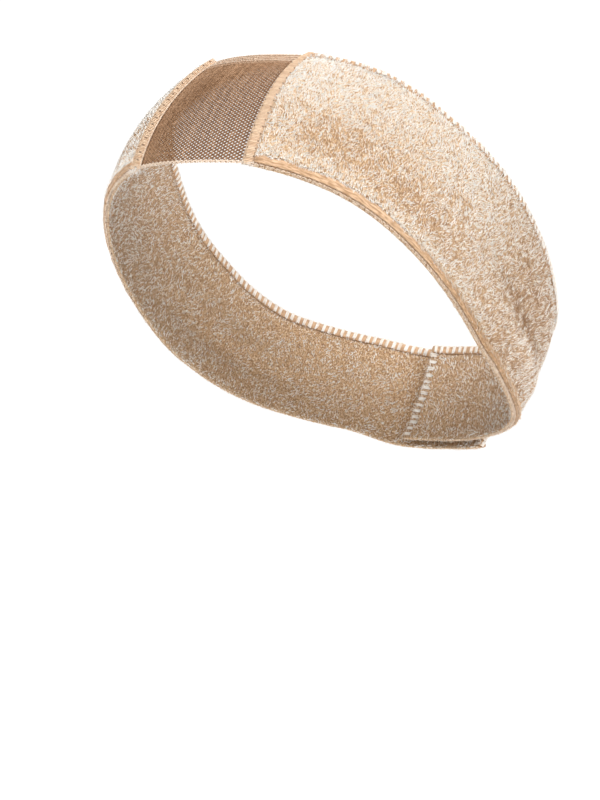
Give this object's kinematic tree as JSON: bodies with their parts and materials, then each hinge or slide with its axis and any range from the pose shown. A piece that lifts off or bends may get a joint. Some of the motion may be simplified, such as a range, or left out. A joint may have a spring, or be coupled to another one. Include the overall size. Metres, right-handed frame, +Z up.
{
  "type": "wig grip band",
  "caption": "Velvet wig grip band worn round the head, with a see-through net panel over the forehead and a lapped hook-and-loop closure at the nape.",
  "frame": {"origin": "middle of the hollow that the head fills, at the head's widest level", "axes": "+Z up, the forehead net towards -Y, the wearer's left towards +X"},
  "size_m": [0.1578, 0.1855, 0.1448],
  "materials": {
    "velvet": "crushed champagne velvet, near white on the sheen, tan in the pile",
    "inner_velvet": "short tan velvet that grips the head",
    "net": "fine tan warp-knit net",
    "tape": "tan seam tape, closely stitched across",
    "fold": "smooth bare tan turned edge",
    "thread": "cream sewing thread",
    "closure": "beige hook-and-loop"
  },
  "bodies": {
    "root": {"net_panel": "net", "net_top_hem": "net", "net_front_edge": "thread", "seam_tape_left": "tape", "seam_tape_right": "tape", "velvet_outer_left": "velvet", "velvet_outer_right": "velvet", "velvet_inner_left": "inner_velvet", "velvet_inner_right": "inner_velvet", "front_fold_left": "fold", "front_fold_right": "fold", "top_overlock_left": "thread", "top_overlock_right": "thread", "back_closure": "closure"}
  },
  "joints": []
}
